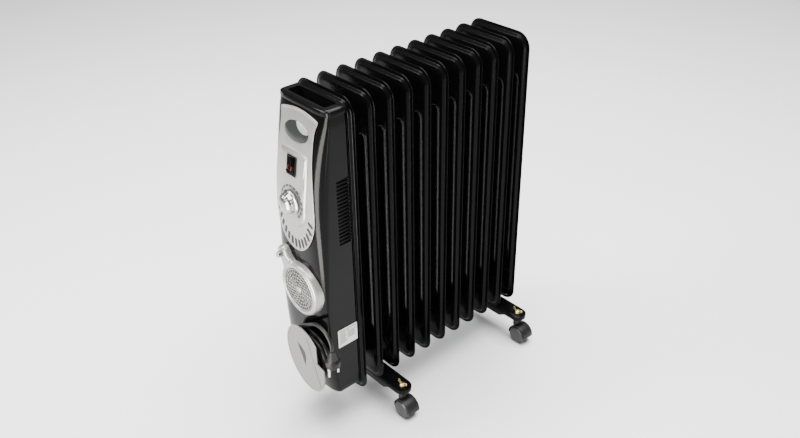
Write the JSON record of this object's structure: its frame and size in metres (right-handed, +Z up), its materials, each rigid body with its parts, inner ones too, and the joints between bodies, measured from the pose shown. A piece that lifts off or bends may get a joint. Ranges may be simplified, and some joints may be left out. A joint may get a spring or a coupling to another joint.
{
  "type": "oil filled radiator heater",
  "caption": "Oil filled electric radiator: pressed fins on two headers, a control box with thermostat, rocker switches, fan heater and cord reel, and two foot brackets on castors.",
  "frame": {"origin": "on the floor, under the middle of the heater", "axes": "+Z up, +Y along the row of fins away from the control box, +X to the right of someone who faces the control panel"},
  "size_m": [0.2688, 0.5162, 0.6435],
  "materials": {
    "black_enamel": "glossy baked enamel",
    "black_gloss_plastic": "glossy moulded",
    "black_matt_plastic": "fine matt",
    "silver_lacquer": "pearl silver lacquer",
    "chrome": "polished",
    "zinc_plated_steel": "bright zinc",
    "aluminium_fins": "plain",
    "brass": "turned",
    "dark_lens": "glossy dark grey",
    "white_film": "matt film",
    "black_rubber": "matt"
  },
  "bodies": {
    "heater": {"box_back_plate": "black_enamel", "box_shell": "black_gloss_plastic", "control_panel": "silver_lacquer", "cord_coil": "black_rubber", "cord_gland": "black_rubber", "cord_lead": "black_rubber", "cord_tail": "black_rubber", "element_flange": "brass", "fan_grille": "silver_lacquer", "fan_housing": "silver_lacquer", "fan_motor": "zinc_plated_steel", "fin_01": "black_enamel", "fin_02": "black_enamel", "fin_03": "black_enamel", "fin_04": "black_enamel", "fin_05": "black_enamel", "fin_06": "black_enamel", "fin_07": "black_enamel", "fin_08": "black_enamel", "fin_09": "black_enamel", "fin_10": "black_enamel", "fin_11": "black_enamel", "foot_bracket_front": "black_enamel", "foot_bracket_rear": "black_enamel", "foot_clamp_front": "zinc_plated_steel", "foot_clamp_rear": "zinc_plated_steel", "heating_element": "zinc_plated_steel", "oil_filler_plug": "zinc_plated_steel", "panel_badge": "dark_lens", "plug": "black_matt_plastic", "ptc_heater": "aluminium_fins", "rating_label": "white_film", "reel_base": "black_matt_plastic", "reel_hub": "black_matt_plastic", "reel_plate": "silver_lacquer", "switch_bezel": "black_matt_plastic", "thermostat_body": "zinc_plated_steel", "top_cap": "black_gloss_plastic", "wing_nut_front_left": "brass", "wing_nut_front_right": "brass", "wing_nut_rear_left": "brass", "wing_nut_rear_right": "brass"},
    "thermostat": {"thermostat_knob": "chrome", "thermostat_shaft": "zinc_plated_steel"},
    "rocker_left": {"rocker_left": "black_gloss_plastic"},
    "rocker_right": {"rocker_right": "black_gloss_plastic"},
    "fan_button": {"fan_button": "chrome"},
    "fan_impeller": {"impeller": "black_matt_plastic"},
    "castor_front_left": {"castor_fork_front_left": "black_gloss_plastic"},
    "wheel_front_left": {"castor_wheel_front_left": "black_matt_plastic"},
    "castor_front_right": {"castor_fork_front_right": "black_gloss_plastic"},
    "wheel_front_right": {"castor_wheel_front_right": "black_matt_plastic"},
    "castor_rear_left": {"castor_fork_rear_left": "black_gloss_plastic"},
    "wheel_rear_left": {"castor_wheel_rear_left": "black_matt_plastic"},
    "castor_rear_right": {"castor_fork_rear_right": "black_gloss_plastic"},
    "wheel_rear_right": {"castor_wheel_rear_right": "black_matt_plastic"}
  },
  "joints": [
    {"name": "thermostat_turn", "type": "hinge", "parent": "heater", "child": "thermostat", "pos_m": [0, -0.2332, 0.4695], "axis": [0, -1, 0], "range_deg": [0, 300]},
    {"name": "left_switch_rock", "type": "hinge", "parent": "heater", "child": "rocker_left", "pos_m": [-0.0047, -0.2209, 0.5319], "axis": [1, 0, 0], "range_deg": [0, 24]},
    {"name": "right_switch_rock", "type": "hinge", "parent": "heater", "child": "rocker_right", "pos_m": [0.0047, -0.2209, 0.5319], "axis": [1, 0, 0], "range_deg": [0, 24]},
    {"name": "fan_button_press", "type": "slide", "parent": "heater", "child": "fan_button", "axis": [0, 1, 0], "range_m": [0, 0.003], "stiffness_N_per_m": 150, "springref_m": -0.002},
    {"name": "impeller_spin", "type": "hinge", "parent": "heater", "child": "fan_impeller", "pos_m": [0.0085, -0.2202, 0.304], "axis": [0, -1, 0], "continuous": true},
    {"name": "swivel_front_left", "type": "hinge", "parent": "heater", "child": "castor_front_left", "pos_m": [-0.1025, -0.0938, 0.0602], "axis": [0, 0, 1], "continuous": true},
    {"name": "roll_front_left", "type": "hinge", "parent": "castor_front_left", "child": "wheel_front_left", "pos_m": [-0.1135, -0.0938, 0.018], "axis": [0, 1, 0], "continuous": true},
    {"name": "swivel_front_right", "type": "hinge", "parent": "heater", "child": "castor_front_right", "pos_m": [0.1025, -0.0938, 0.0602], "axis": [0, 0, 1], "continuous": true},
    {"name": "roll_front_right", "type": "hinge", "parent": "castor_front_right", "child": "wheel_front_right", "pos_m": [0.1135, -0.0938, 0.018], "axis": [0, 1, 0], "continuous": true},
    {"name": "swivel_rear_left", "type": "hinge", "parent": "heater", "child": "castor_rear_left", "pos_m": [-0.1025, 0.223, 0.0602], "axis": [0, 0, 1], "continuous": true},
    {"name": "roll_rear_left", "type": "hinge", "parent": "castor_rear_left", "child": "wheel_rear_left", "pos_m": [-0.1135, 0.223, 0.018], "axis": [0, 1, 0], "continuous": true},
    {"name": "swivel_rear_right", "type": "hinge", "parent": "heater", "child": "castor_rear_right", "pos_m": [0.1025, 0.223, 0.0602], "axis": [0, 0, 1], "continuous": true},
    {"name": "roll_rear_right", "type": "hinge", "parent": "castor_rear_right", "child": "wheel_rear_right", "pos_m": [0.1135, 0.223, 0.018], "axis": [0, 1, 0], "continuous": true}
  ]
}
